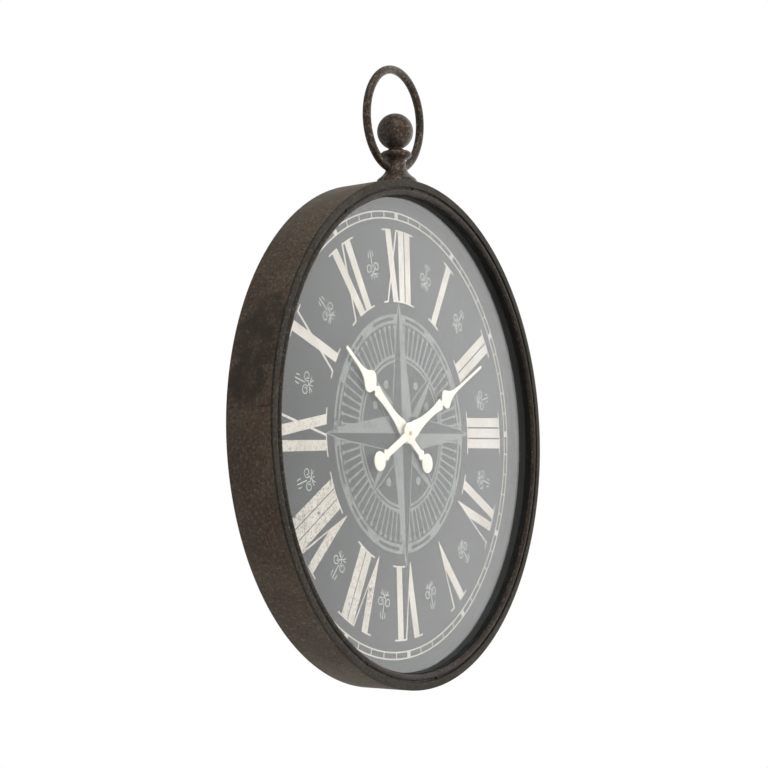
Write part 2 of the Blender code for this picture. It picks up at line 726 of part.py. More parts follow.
def make_motor(finish, axis, places):
    """Coil, stator and electronics of the stepping motor round the rotor."""
    left, right = -24.6 * MM, -4.8 * MM
    core_height = 22 * MM
    core = 1.5 * MM
    back, front = 8.4 * MM, 9.4 * MM
    heights = (5.4 * MM, core_height + core)
    stator = block("stator", finish["steel"], axis, (left, right), heights, back, front)
    through = (7 * MM, 11 * MM)
    leg = 3 * MM
    window_heights = (16 * MM, core_height - core)
    window = block("stator_window", None, axis, (left + leg, right - leg), window_heights, *through)
    ways = []
    for name, radius, segments in (("rotor", 3.6, 20), ("fifth", 1.0, 10), ("fourth", 2.2, 12)):
        x, z = places[name]
        ways.append(rod(name + "_way", None, axis, radius * MM, *through, place=(x, 0, z), segments=segments))
    cut(stator, window, *ways)
    winding = (left + leg + 2 * GAP, right - leg - 2 * GAP)
    middle = (0, -(back + front) / 2, core_height)
    coil = rod("coil", finish["copper"], axis, 2.8 * MM, *winding, (1, 0, 0), middle, 20)
    tunnel_heights = (core_height - core - GAP, core_height + core + GAP)
    cut(coil, block("coil_tunnel", None, axis, (left, right), tunnel_heights, back - GAP, front + GAP))
    board_front = 5 * MM
    board_back = board_front - 1 * MM
    span = (7 * MM, 25.5 * MM)
    block("circuit_board", finish["laminate"], axis, span, (16.5 * MM, 25.5 * MM), board_back, board_front)
    can = (0, -(board_front + 1.3 * MM), 23 * MM)
    rod("quartz_crystal", finish["steel"], axis, 1.0 * MM, 9 * MM, 15.5 * MM, (1, 0, 0), can, 12)
    chip = (20.5 * MM, 0, 21 * MM)
    chip_back = board_front + GAP
    rod("controller_chip", finish["plastic"], axis, 2.6 * MM, chip_back, chip_back + 1.2 * MM, place=chip)


def make_battery(finish, axis):
    """An AA cell lying across the bay, its cap to the right, between two spring contacts."""
    centre_z = (BAY_FLOOR + BAY_CEILING) / 2
    radius = 7.0 * MM
    edge = 0.6 * MM
    end, shoulder, cap_end = -24.6 * MM, 24.2 * MM, 25.2 * MM
    cap = 2.6 * MM
    profile = [
        (0, end),
        (radius - edge, end),
        (radius, end + edge),
        (radius, shoulder - edge),
        (radius - edge, shoulder),
        (cap, shoulder),
        (cap, cap_end),
        (0, cap_end),
    ]
    turned("battery", finish["cell"], axis, profile, (1, 0, 0), (0, -9.4 * MM, centre_z))
    heights = (centre_z - 4 * MM, centre_z + 4 * MM)
    for name, inner, outer in (("contact_positive", 25.6, 26.2), ("contact_negative", -26.2, -25.6)):
        block(name, finish["steel"], axis, (inner * MM, outer * MM), heights, 3.5 * MM, 15.5 * MM)


def make_hardware(finish, axis):
    """What clamps the movement through the dial: washer, threaded bushing, washer and hexagon nut."""
    def tube(name, stuff, inner, outer, back, front):
        section = [(inner, back), (outer, back), (outer, front), (inner, front)]
        ring(name, finish[stuff], axis, section, segments=TURNED)

    hole = BUSHING_RADIUS + GAP
    washer_front = DIAL_DEPTH + 1.1 * MM
    nut_back = washer_front + GAP
    nut_front = nut_back + 2.2 * MM
    tube("threaded_bushing", "brass", 2.9 * MM, BUSHING_RADIUS, BOX_FRONT - 1.1 * MM, nut_front + 0.4 * MM)
    tube("rubber_washer", "rubber", hole, 9 * MM, BOX_FRONT + GAP, BOARD_BACK - GAP)
    tube("brass_washer", "brass", hole, 8 * MM, DIAL_DEPTH + GAP, washer_front)
    nut = turned("hexagon_nut", finish["brass"], axis, rod_profile(6.9 * MM, nut_back, nut_front), segments=6)
    cut(nut, rod("nut_bore", None, axis, hole, nut_back - 2 * MM, nut_front + 2 * MM, segments=TURNED))


def make_hands(finish, pivots):
    ivory = finish["ivory"]
    hour = hand_outline(HOUR_BLADE, HOUR_TAIL, 12.5)
    make_hand("hour_hand", ivory, pivots["hour"], hour, HOUR_ANGLE, HOUR_HAND_DEPTH, 2.9 * MM)
    minute = hand_outline(MINUTE_BLADE, MINUTE_TAIL, 13)
    make_hand("minute_hand", ivory, pivots["minute"], minute, MINUTE_ANGLE, MINUTE_HAND_DEPTH, ARBOR_WAY)
    start = MINUTE_HAND_DEPTH + HAND_SHEET + GAP
    radius, top = 2.6 * MM, 1.9 * MM
    shoulder, end = start + 0.7 * MM, start + 1.2 * MM
    profile = [(0, start), (radius, start), (radius, shoulder), (top, end), (0, end)]
    cap = turned("hand_nut", finish["brass"], pivots["minute"], profile)
    cut(cap, rod("hand_nut_bore", None, pivots["minute"], ARBOR_WAY, start - 1 * MM, end - GAP))


def main():
    clear_scene()
    finish = make_finishes()
    axis = empty("dial_axis", (0, 0, -AXIS_DROP))
    make_case(finish, axis)
    make_bead_and_brads(finish, axis)
    make_collar_and_glass(finish, axis)
    make_dial(finish, axis)
    make_hanger(finish, axis)
    make_pendant(finish, axis)
    places, pivots = make_train(finish, axis)
    make_movement_box(finish, axis, places)
    make_motor(finish, axis, places)
    make_battery(finish, axis)
    make_hardware(finish, axis)
    make_hands(finish, pivots)


main()
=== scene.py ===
# %% [markdown]
# # A pocket-watch wall clock
# The clock is a shallow drum of painted sheet iron, 600 mm across, with a turned pendant, a ball and a bow of
# round rod on top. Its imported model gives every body, joint and size. This lesson adds what the eye sees: round
# turned metal, a printed dial under glass, enamelled hands, and an aged finish for each of them.

from math import cos, pi, radians, sin

import bmesh
import bpy
from mathutils import Matrix, Vector


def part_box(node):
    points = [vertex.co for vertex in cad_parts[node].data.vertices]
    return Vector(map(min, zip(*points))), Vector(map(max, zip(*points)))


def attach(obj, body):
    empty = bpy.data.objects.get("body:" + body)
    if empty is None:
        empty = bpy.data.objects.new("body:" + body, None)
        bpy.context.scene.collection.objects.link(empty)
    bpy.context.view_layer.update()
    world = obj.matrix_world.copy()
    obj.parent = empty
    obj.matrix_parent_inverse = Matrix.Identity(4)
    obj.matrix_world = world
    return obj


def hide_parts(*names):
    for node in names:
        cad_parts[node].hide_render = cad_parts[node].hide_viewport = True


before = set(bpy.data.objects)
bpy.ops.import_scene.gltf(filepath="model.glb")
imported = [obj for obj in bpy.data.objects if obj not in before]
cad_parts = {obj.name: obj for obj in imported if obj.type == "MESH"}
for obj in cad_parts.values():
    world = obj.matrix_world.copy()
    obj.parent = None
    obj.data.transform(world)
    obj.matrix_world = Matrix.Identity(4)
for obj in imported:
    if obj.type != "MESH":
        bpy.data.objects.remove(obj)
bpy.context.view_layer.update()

# %% [markdown]
# ## Sizes
# Lengths are written in millimetres and turned into metres in one place. The dial's axis runs along Y through
# the middle of the dial board, so its place comes from that node's box. Depths are measured forward from the
# wall, and a depth d is at y = -d. A positive turn about +Y is clockwise for a person who reads the dial.

# %% Units and the dial's axis
MM = 0.001
board_low, board_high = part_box("dial_board")
AXIS = Vector((0, 0, (board_low.z + board_high.z) / 2))
DIAL = -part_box("dial_print")[0].y / MM
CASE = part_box("case_band")[1].x / MM
print(f"dial axis at z = {AXIS.z:.4f} m, dial face {DIAL:.2f} mm from the wall, case radius {CASE:.1f} mm")


def on_dial(radius, angle):
    """(x, z) in millimetres from the axis, at a clockwise angle from twelve o'clock."""
    return radius * sin(angle), radius * cos(angle)


def spot(x, depth, z):
    """A point in metres from millimetres right of the axis, forward of the wall and above the axis."""
    return AXIS + Vector((x, -depth, z)) * MM


# %% [markdown]
# ## Finishing a piece
# Every shape is built in a bmesh. Merging doubles closes the seam of a turned shape and its poles, and then the
# normals are made to face outwards. The object stays at the origin, so its place is in its mesh and a pattern
# on Object coordinates can't slide. Each piece rides on a body and gets its finish as its material.

# %% One helper that turns a bmesh into a riding piece
SEAM = 1e-6
SMOOTH_BELOW = radians(32)


def finished(name, bm, finish, body, stands_for=(), merge=True):
    """Names, finishes and mounts one shape; stands_for lists the nodes that it replaces."""
    if merge:
        bmesh.ops.remove_doubles(bm, verts=bm.verts, dist=SEAM)
    bmesh.ops.recalc_face_normals(bm, faces=bm.faces)
    mesh = bpy.data.meshes.new(name)
    bm.to_mesh(mesh)
    bm.free()
    mesh.shade_smooth()
    mesh.set_sharp_from_angle(angle=SMOOTH_BELOW)
    mesh.materials.append(finish)
    piece = bpy.data.objects.new(name, mesh)
    bpy.context.scene.collection.objects.link(piece)
    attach(piece, body)
    if stands_for:
        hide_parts(*stands_for)
    print(f"{name}: {len(mesh.polygons)} faces on {body}")


# %% [markdown]
# ## Shader maths as plain sums
# A finish is a few patterns, added, scaled and clipped. Written as nodes that is long, so a small class wraps a
# socket and overloads the operators: a sum of two signals adds its Math node. One method makes any other node,
# from its type, its settings and what goes into its sockets.


# %% A socket that can be added, scaled and clipped
class Signal:
    def __init__(self, finish, socket):
        self.finish = finish
        self.socket = socket

    def _sum(self, operation, first, second):
        return self.finish.node("ShaderNodeMath", {"operation": operation}, {0: first, 1: second})

    def __add__(self, other):
        return self._sum("ADD", self, other)

    def __radd__(self, other):
        return self._sum("ADD", other, self)

    def __sub__(self, other):
        return self._sum("SUBTRACT", self, other)

    def __mul__(self, other):
        return self._sum("MULTIPLY", self, other)

    def __rmul__(self, other):
        return self._sum("MULTIPLY", other, self)

    def at_least(self, other):
        return self._sum("MAXIMUM", self, other)

    def between(self, low, high):
        """0 below low, 1 above high, and a smooth step between them; low above high turns it round."""
        return self.finish.node(
            "ShaderNodeMapRange",
            {"interpolation_type": "SMOOTHSTEP"},
            {"Value": self, "From Min": low, "From Max": high},
        )


# %% A finish: one material with the patterns it is made from
class Finish:
    def __init__(self, name):
        self.material = bpy.data.materials.new(name)
        self.material.use_nodes = True
        self.tree = self.material.node_tree
        self.shader = self.tree.nodes["Principled BSDF"]
        self.out = self.tree.nodes["Material Output"]
        coordinates = self.node("ShaderNodeTexCoord", output="Object")
        self.place = self.node("ShaderNodeMapping", {}, {"Vector": coordinates, "Location": -AXIS})

    def node(self, kind, settings=None, inputs=None, output=0):
        made = self.tree.nodes.new(kind)
        for key, value in (settings or {}).items():
            setattr(made, key, value)
        for key, value in (inputs or {}).items():
            self.feed(made.inputs[key], value)
        return Signal(self, made.outputs[output])

    def feed(self, socket, value):
        if isinstance(value, Signal):
            self.tree.links.new(value.socket, socket)
        elif socket.type == "RGBA":
            socket.default_value = (*value, 1)
        else:
            socket.default_value = value

    def noise(self, scale, detail=4.0, roughness=0.55, place=None):
        return self.node(
            "ShaderNodeTexNoise",
            {},
            {"Vector": place or self.place, "Scale": scale, "Detail": detail, "Roughness": roughness},
        )

    def stretched(self, scale, turn=(0, 0, 0)):
        inputs = {"Vector": self.place, "Scale": scale, "Rotation": turn}
        return self.node("ShaderNodeMapping", {}, inputs)

    def part(self, axis):
        """One coordinate of the place, in metres from the dial's axis."""
        return self.node("ShaderNodeSeparateXYZ", {}, {0: self.place}, output=axis)

    def nearness(self, point, reach):
        """1 at a point and 0 at this distance from it; the point is in millimetres as right, forward, up."""
        x, depth, z = point
        offset = (x * MM, -depth * MM, z * MM)
        inputs = {0: self.place, 1: offset}
        distance = self.node("ShaderNodeVectorMath", {"operation": "DISTANCE"}, inputs, output="Value")
        return distance.between(reach * MM, 0)

    def blend(self, share, first, second):
        settings = {"data_type": "RGBA", "blend_type": "MIX"}
        return self.node("ShaderNodeMix", settings, {0: share, 6: first, 7: second}, output=2)

    def bump(self, height, distance):
        return self.node("ShaderNodeBump", {}, {"Height": height, "Distance": distance})

    def surface(self, colour, roughness, normal=None, **constants):
        self.feed(self.shader.inputs["Base Color"], colour)
        self.feed(self.shader.inputs["Roughness"], roughness)
        if normal:
            self.feed(self.shader.inputs["Normal"], normal)
        for key, value in constants.items():
            self.feed(self.shader.inputs[key.replace("_", " ")], value)
        return self.material


def linear(red, green, blue):
    """A colour given as the eye reads it, 0 to 255, as the light that the shader needs."""
    return tuple(((c / 255 + 0.055) / 1.055) ** 2.4 if c > 10 else c / 255 / 12.92 for c in (red, green, blue))


# %% [markdown]
# ## Aged iron paint
# The case is sheet iron under a dark bronze paint that was rubbed by hand: olive clouds, rust patches and a fine
# grain of dark pits and pale worn specks. Noise at four scales gives clouds, patches, pits and dust, and the last
# three also lift the surface. The same recipe with other colours gives the rim, the bead and the turned pieces.


# %% The recipe for every iron piece
def aged_iron(name, ground, cloud_tint, rust, worn, roughness, grain=0.00022, stain=None):
    """Paint from four colours; grain is the height of its pits in metres, and stain says where it is darkened."""
    finish = Finish(name)
    clouds = finish.noise(11, 5, 0.6)
    patches = finish.noise(46, 6, 0.62)
    pits = finish.noise(300, 3, 0.7)
    dust = finish.noise(900, 2, 0.6)
    colour = finish.blend(clouds.between(0.36, 0.64), ground, cloud_tint)
    colour = finish.blend(patches.between(0.5, 0.72) * 0.7, colour, rust)
    colour = finish.blend(pits.between(0.53, 0.68) * 0.6, colour, worn)
    colour = finish.blend(pits.between(0.46, 0.34) * 0.7, colour, tuple(c * 0.3 for c in ground))
    colour = finish.blend(dust.between(0.56, 0.74) * 0.45, colour, worn)
    if stain:
        dark = stain(finish) * (0.35 + 0.65 * finish.noise(60, 5, 0.6).between(0.35, 0.6))
        colour = finish.blend(dark, colour, tuple(c * 0.42 for c in ground))
    gloss = roughness + (patches - 0.5) * 0.4 + (pits - 0.5) * 0.25
    normal = finish.bump(pits * 0.7 + dust * 0.3 + patches * 0.5, grain)
    return finish.surface(colour, gloss, normal, Metallic=0.1, Specular_IOR_Level=0.3)


WELD_HEIGHT = 26
WELD_CORE, WELD_FADE = 0.4, 1.3


def band_stains(finish):
    """The dark run on the band between nine and ten o'clock, and the line where the strip was welded shut."""
    uneven = finish.noise(34, 5, 0.65) * 0.7
    run = finish.nearness((-284, 34, 98), 62).at_least(finish.nearness((-272, 40, 126), 40))
    lower = finish.nearness((-292, 24, 52), 46)
    weld = finish.part("Z") - WELD_HEIGHT * MM
    line = weld.at_least(weld * -1).between(WELD_FADE * MM, WELD_CORE * MM) * finish.part("X").between(-0.25, -0.28)
    stained = (run.at_least(lower) + uneven - 0.66).between(0.0, 0.3) * 0.75
    return stained.at_least(line * finish.noise(90, 3).between(0.4, 0.55))


# %% The paints of the case, from outside to inside
band_paint = aged_iron(
    "band_paint", linear(66, 55, 45), linear(79, 69, 56), linear(76, 54, 42), linear(120, 103, 86), 0.66,
    stain=band_stains,
)
rim_paint = aged_iron(
    "rim_face_paint", linear(34, 30, 24), linear(44, 40, 33), linear(36, 28, 22), linear(92, 84, 68), 0.68,
)
bead_paint = aged_iron(
    "bead_paint", linear(30, 25, 21), linear(40, 34, 28), linear(44, 33, 26), linear(104, 90, 74), 0.55,
)
turned_paint = aged_iron(
    "turned_iron_paint", linear(42, 35, 30), linear(56, 47, 39), linear(66, 46, 36), linear(140, 122, 98), 0.42,
    grain=0.0003,
)
# Near-black paint, made darker still as painted shade for the recess behind the bead; it also paints the brads'
# shadow rings.
black_paint_and_painted_shade = aged_iron(
    "inner_black_paint_and_painted_shade", linear(11, 10, 9), linear(14, 13, 12), linear(18, 15, 13), linear(40, 35, 30), 0.7,
)
print("iron paints:", [m.name for m in bpy.data.materials if "paint" in m.name])

# %% [markdown]
# ## Turning a ring or a knob
# Everything round on the case was rolled, pressed or turned, so one section spun about a line makes it. The
# spin operator does that in one call. Its corners then get a small bevel, because no real edge is knife sharp.

# %% A section spun about a line
ROUND = 256


def spun(section, closed, along=(0, -1, 0), foot=(0, 0, 0), steps=ROUND):
    """section holds (radius, distance along the line) in millimetres; foot is (x, depth, z) in millimetres."""
    line = Vector(along).normalized()
    outward = line.orthogonal().normalized()
    centre = spot(*foot)
    bm = bmesh.new()
    points = [bm.verts.new(centre + (outward * radius + line * reach) * MM) for radius, reach in section]
    ends = points[1:] + points[:1] if closed else points[1:]
    edges = [bm.edges.new(pair) for pair in zip(points, ends)]
    bmesh.ops.spin(
        bm, geom=points + edges, cent=centre, axis=line, angle=2 * pi, steps=steps,
        use_merge=True, use_duplicate=False,
    )
    bmesh.ops.remove_doubles(bm, verts=bm.verts, dist=SEAM)
    bmesh.ops.recalc_face_normals(bm, faces=bm.faces)
    return bm


def eased(bm, width, sharper_than=40, segments=2):
    """Rounds the edges whose faces meet at more than this many degrees."""
    sharp = [edge for edge in bm.edges if edge.calc_face_angle(0) > radians(sharper_than)]
    bmesh.ops.bevel(
        bm, geom=sharp, offset=width * MM, segments=segments, profile=0.5, affect="EDGES",
        material=-1, clamp_overlap=True,
    )
    return bm


def curve_through(points, steps):
    """A smooth line through points of two numbers, so that a turned profile has no flats."""
    line = []
    for i in range(len(points) - 1):
        before, start, end, after = (Vector(points[max(0, min(len(points) - 1, i + k))]) for k in (-1, 0, 1, 2))
        for step in range(steps):
            t = step / steps
            line.append(tuple(
                0.5 * (2 * start + (end - before) * t + (2 * before - 5 * start + 4 * end - after) * t * t
                       + (3 * start - before - 3 * end + after) * t ** 3)
            ))
    line.append(tuple(points[-1]))
    return line


# %% [markdown]
# ## The case
# The band is 60 mm deep with a narrow hem that lies on the wall. A flat rim closes it in front, and inside the
# rim sits a half-round bead. The collar inside the bead is a cylinder that runs back to the glass, in black
# paint that is made darker still as painted shade for the recess.

# %% Band and rim
rim_back = -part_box("front_rim")[1].y / MM
rim_front = -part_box("front_rim")[0].y / MM
band_front = -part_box("case_band")[0].y / MM
SHEET, HEM, HEM_SHEET = 1.6, 5.0, 1.2
band_section = [
    (CASE, 0), (CASE, band_front), (CASE - SHEET, band_front), (CASE - SHEET, HEM_SHEET),
    (CASE - HEM, HEM_SHEET), (CASE - HEM, 0),
]
band = eased(spun(band_section, True), 0.35)
finished("case_drum", band, band_paint, "root", ["case_band"])
RIM_WIDTH = 9.0
rim_section = [
    (CASE - RIM_WIDTH, rim_back), (CASE, rim_back), (CASE, rim_front), (CASE - RIM_WIDTH, rim_front),
]
rim = eased(spun(rim_section, True), 0.55, segments=3)
finished("rim_face", rim, rim_paint, "root", ["front_rim"])

# %% Bead and collar
BEAD = 3.7
bead_low, bead_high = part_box("bead_ring")
bead_back = -bead_high.y / MM
collar_low, collar_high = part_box("inner_collar")
SIGHT = 281.8
bead_centre = (SIGHT + BEAD, -bead_low.y / MM - BEAD)
flange = (296.0, bead_back + 2.5)


def arc_points(centre, radius, start, end, count):
    steps = [radians(start + (end - start) * i / (count - 1)) for i in range(count)]
    return [(centre[0] + radius * cos(a), centre[1] + radius * sin(a)) for a in steps]


bead_section = [(flange[0], bead_back), flange]
bead_section += arc_points(bead_centre, BEAD, 22, 180, 14)
bead_section += [(SIGHT, bead_back)]
finished("bead", spun(bead_section, True), bead_paint, "root", ["bead_ring"])
collar_back, collar_front = -collar_high.y / MM, -collar_low.y / MM
inner, wall, plate, plate_edge = SIGHT - 0.2, 1.4, 1.2, CASE - 2.2
lip, lip_back = 0.7, collar_front - 1.5
collar_section = [
    (inner, collar_back), (inner + wall, collar_back), (inner + wall, collar_front - plate),
    (plate_edge, collar_front - plate), (plate_edge, collar_front), (inner - lip, collar_front),
    (inner - lip, lip_back), (inner, lip_back),
]
collar = eased(spun(collar_section, True), 0.15, segments=1)
# The collar's colour is partly painted shade: black paint darkened to stand in for the shade in its recess.
finished("collar", collar, black_paint_and_painted_shade, "root", ["inner_collar"])

# %% [markdown]
# ## Brads
# Twelve small round-headed nails stand on the outer slope of the bead, one every thirty degrees. Each is a
# turned dome on a black disc round its foot, a painted shadow ring in place of a real countersink.

# %% Twelve heads and their painted shadow rings
BRADS = [f"brad_{number:02d}" for number in range(1, 13)]
heads, cups = bmesh.new(), bmesh.new()


def add_turned(target, section, foot, steps):
    """Spins a small closed section beside the others in a shared bmesh."""
    part = spun(section, False, foot=foot, steps=steps)
    copy = bpy.data.meshes.new("part")
    part.to_mesh(copy)
    part.free()
    target.from_mesh(copy)
    bpy.data.meshes.remove(copy)


for node in BRADS:
    low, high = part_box(node)
    middle = ((low + high) / 2 - AXIS) / MM
    top = -low.y / MM
    dome = [
        (0, top - 3.0), (1.6, top - 3.0), (1.75, top - 0.75), (1.45, top - 0.2), (0.8, top + 0.02), (0, top + 0.08),
    ]
    add_turned(heads, dome, (middle.x, 0, middle.z), 16)
    # The black disc round each head is painted shadow: its colour stands in for the shade of a countersink.
    cup = [(0, top - 3.4), (2.5, top - 3.4), (2.5, top - 1.25), (2.1, top - 0.95), (1.9, top - 1.1), (0, top - 1.1)]
    add_turned(cups, cup, (middle.x, 0, middle.z), 16)
finished("brad_heads", heads, rim_paint, "root", BRADS)
finished("brad_cups", cups, black_paint_and_painted_shade, "root")

# %% [markdown]
# ## Pendant, ball and bow
# These were turned and bent from solid iron. The pendant's profile is a smooth curve through its measured
# radii: a flared foot, a slim neck and a rounded collar. The bow is one ring of rod through the neck, and the
# ball stands on the collar. The top of the bow leans a little forward from the wall.

# %% The turned pieces
pendant_low, pendant_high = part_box("pendant")
PENDANT_DEPTH = -(pendant_low.y + pendant_high.y) / 2 / MM
UP = (0, 0, 1)
foot = (0, PENDANT_DEPTH, 0)
pendant_curve = curve_through(
    [
        (25, 299), (24.9, 301.5), (24.5, 304.6), (22.5, 307.4), (18.8, 310.2), (15.6, 313.5), (13.4, 317),
        (12.4, 320.5), (11.6, 324.5), (11.3, 328), (12.6, 330.8), (16.4, 332.6), (18.8, 335.0), (18.8, 337.8),
        (16.8, 340.0), (12.4, 341.6), (9.2, 343.2), (8.7, 344.8),
    ],
    3,
)
TURNED = 72
pendant = spun([(0, 299)] + pendant_curve + [(0, 344.8)], False, UP, foot, TURNED)
finished("pendant_turning", pendant, turned_paint, "root", ["pendant"])
ball_low, ball_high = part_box("ball_finial")
BALL = (ball_high.x - ball_low.x) / 2 / MM
ball_top = (ball_high.z - AXIS.z) / MM
BALL_FOOT, BALL_START = 344.4, -66.7
ball_curve = arc_points((0, 0), BALL, BALL_START, 90, 40)
ball_section = [(0, BALL_FOOT), (8.7, BALL_FOOT)] + [(max(x, 0), ball_top - BALL + z) for x, z in ball_curve]
ball = spun(ball_section, False, UP, foot, TURNED)
finished("ball", ball, turned_paint, "root", ["ball_finial"])

# %% The bow
bow_low, bow_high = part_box("bow_ring")
ROD = 5.0
BOW = (bow_high.x - bow_low.x) / 2 / MM - ROD
BOW_LEAN = radians(-4)
bow_centre = ((bow_low + bow_high) / 2 - AXIS) / MM
bow_line = (0, -cos(BOW_LEAN), sin(BOW_LEAN))
bow_section = [(BOW + ROD * cos(2 * pi * i / 24), ROD * sin(2 * pi * i / 24)) for i in range(24)]
bow = spun(bow_section, True, bow_line, (0, -bow_centre.y, bow_centre.z), 128)
finished("bow", bow, turned_paint, "root", ["bow_ring"])
print(f"bow radius {BOW:.1f} mm, ball radius {BALL:.1f} mm")

# %% [markdown]
# ## Glass
# The pane is 3 mm float glass. Light has to reach the dial, so shadow and diffuse rays pass straight through,
# and every other ray meets real glass that bends and reflects it. Faint wipe marks vary its polish.


# %% The pane
def pane_finish():
    finish = Finish("float_glass")
    wiped = finish.noise(22, 5, 0.7, finish.stretched((1, 1, 3.2), turn=(0, radians(28), 0)))
    dust = finish.noise(700, 2, 0.5).between(0.7, 0.85)
    polish = wiped.between(0.5, 0.8) * 0.003 + dust * 0.004
    finish.surface((0.985, 1.0, 0.995), polish, Transmission_Weight=1.0, IOR=1.5)
    shadow = finish.node("ShaderNodeLightPath", output="Is Shadow Ray")
    diffuse = finish.node("ShaderNodeLightPath", output="Is Diffuse Ray")
    clear = finish.node("ShaderNodeBsdfTransparent")
    solid = Signal(finish, finish.shader.outputs[0])
    mixed = finish.node("ShaderNodeMixShader", {}, {0: shadow.at_least(diffuse), 1: solid, 2: clear})
    finish.feed(finish.out.inputs["Surface"], mixed)
    return finish.material


glass_low, glass_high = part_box("glass")
pane_back, pane_front = -glass_high.y / MM, -glass_low.y / MM
GLASS = 288.0
pane_section = [(0, pane_back), (GLASS, pane_back), (GLASS, pane_front), (0, pane_front)]
finished("pane", spun(pane_section, False), pane_finish(), "root", ["glass"])

# %% [markdown]
# ## Printed layers of the dial
# The dial's artwork is a print. Each layer is a very thin sheet of ink here, about a tenth of a millimetre at
# most, so its outline stays crisp at any distance and its wear can be its own finish. Layers that cross lie at
# slightly different heights, since two faces in one plane would fight.

# %% Ink shapes: flat faces given a thickness
INK_SUNK = 0.02
INK_ROOT = DIAL - INK_SUNK


def thickened(bm, faces, lift):
    """Gives flat faces on the dial their ink thickness."""
    swept = bmesh.ops.extrude_face_region(bm, geom=faces)
    moved = [part for part in swept["geom"] if isinstance(part, bmesh.types.BMVert)]
    bmesh.ops.translate(bm, verts=moved, vec=(0, -(lift + INK_SUNK) * MM, 0))


def ink_shape(bm, outline, lift):
    """A flat shape from its (x, z) corners in millimetres."""
    face = bm.faces.new([bm.verts.new(spot(x, INK_ROOT, z)) for x, z in outline])
    thickened(bm, [face], lift)


def ink_arc(bm, inner_radius, outer_radius, start, sweep, lift, steps, centre=(0, 0)):
    """A flat piece of a ring: one radial edge spun round a centre on the dial. Angles are in degrees."""
    known = len(bm.faces)
    x, z = centre
    ends = []
    for radius in (inner_radius, outer_radius):
        dx, dz = on_dial(radius, radians(start))
        ends.append(bm.verts.new(spot(x + dx, INK_ROOT, z + dz)))
    edge = bm.edges.new(ends)
    bmesh.ops.spin(
        bm, geom=ends + [edge], cent=spot(x, INK_ROOT, z), axis=(0, 1, 0), angle=radians(sweep), steps=steps,
        use_merge=abs(sweep) == 360, use_duplicate=False,
    )
    bm.faces.ensure_lookup_table()
    thickened(bm, bm.faces[known:], lift)


def ink_line(bm, line, width, lift):
    """A pen stroke of one width along (x, z) points, extruded edge by edge."""
    known = len(bm.faces)
    edge = None
    for i, point in enumerate(line):
        ahead = Vector(line[min(i + 1, len(line) - 1)]) - Vector(line[max(i - 1, 0)])
        across = Vector((-ahead.y, ahead.x)).normalized() * width / 2
        sides = [spot(point[0] + s * across.x, INK_ROOT, point[1] + s * across.y) for s in (1, -1)]
        if edge is None:
            ends = [bm.verts.new(side) for side in sides]
            edge = bm.edges.new(ends)
            continue
        grown = bmesh.ops.extrude_edge_only(bm, edges=[edge])["geom"]
        ends = [part for part in grown if isinstance(part, bmesh.types.BMVert)]
        edge = next(part for part in grown if isinstance(part, bmesh.types.BMEdge))
        if (ends[0].co - sides[0]).length + (ends[1].co - sides[1]).length > (
            (ends[1].co - sides[0]).length + (ends[0].co - sides[1]).length
        ):
            ends.reverse()
        for end, side in zip(ends, sides):
            end.co = side
    bm.faces.ensure_lookup_table()
    thickened(bm, bm.faces[known:], lift)


# %% [markdown]
# ### Ink and paper finishes
# The ground is charcoal with a very fine tooth. The cream ink is worn most on the left and lower left, where
# brown and grey flecks show through. The compass is a thin grey ink that has gone patchy.


# %% Charcoal ground, cream ink and grey ink
def ground_finish():
    finish = Finish("charcoal_dial")
    clouds = finish.noise(7, 4, 0.6)
    tooth = finish.noise(900, 3, 0.6)
    colour = finish.blend(clouds.between(0.3, 0.7), linear(48, 50, 48), linear(56, 58, 56))
    colour = finish.blend(tooth.between(0.6, 0.8) * 0.3, colour, linear(72, 74, 72))
    return finish.surface(colour, 0.7 + (tooth - 0.5) * 0.2, finish.bump(tooth, 0.000012))


def cream_finish():
    finish = Finish("cream_ink")
    tooth = finish.noise(500, 3, 0.6)
    worn_side = finish.nearness((-215, DIAL, -75), 190)
    worn_four = finish.nearness((196, DIAL, -138), 62)
    worn_seven = finish.nearness((-96, DIAL, -186), 95) * 0.8
    where = worn_side.at_least(worn_four).at_least(worn_seven)
    flecks = finish.noise(380, 4, 0.72)
    blots = finish.noise(58, 6, 0.75)
    lines = finish.noise(90, 4, 0.7, finish.stretched((1, 1, 0.12), turn=(0, radians(35), 0)))
    speckled = (flecks + where * 0.13).between(0.63, 0.7)
    blotted = (blots + where * 0.16).between(0.72, 0.78)
    scratched = (lines + where * 0.1).between(0.71, 0.74)
    colour = finish.blend(finish.noise(30, 4, 0.6).between(0.35, 0.65), linear(184, 176, 164), linear(196, 190, 180))
    colour = finish.blend(speckled * 0.7, colour, linear(96, 84, 74))
    colour = finish.blend(scratched * 0.7, colour, linear(88, 80, 72))
    colour = finish.blend(blotted * 0.9, colour, linear(92, 72, 60))
    return finish.surface(colour, 0.6 + (tooth - 0.5) * 0.3, finish.bump(tooth, 0.00004))


def grey_finish(name, tone, patchy):
    finish = Finish(name)
    tooth = finish.noise(480, 3, 0.65)
    rubbed = finish.noise(64, 6, 0.72)
    worn_side = finish.nearness((-130, DIAL, 10), 90)
    colour = finish.blend(tooth.between(0.4, 0.62), linear(*tone), linear(*[c + 14 for c in tone]))
    colour = finish.blend(rubbed.between(0.5, 0.62) * patchy, colour, linear(76, 78, 76))
    colour = finish.blend((rubbed + worn_side * 0.12).between(0.68, 0.74) * 0.7, colour, linear(70, 68, 66))
    return finish.surface(colour, 0.65 + (tooth - 0.5) * 0.2, finish.bump(tooth, 0.00003))


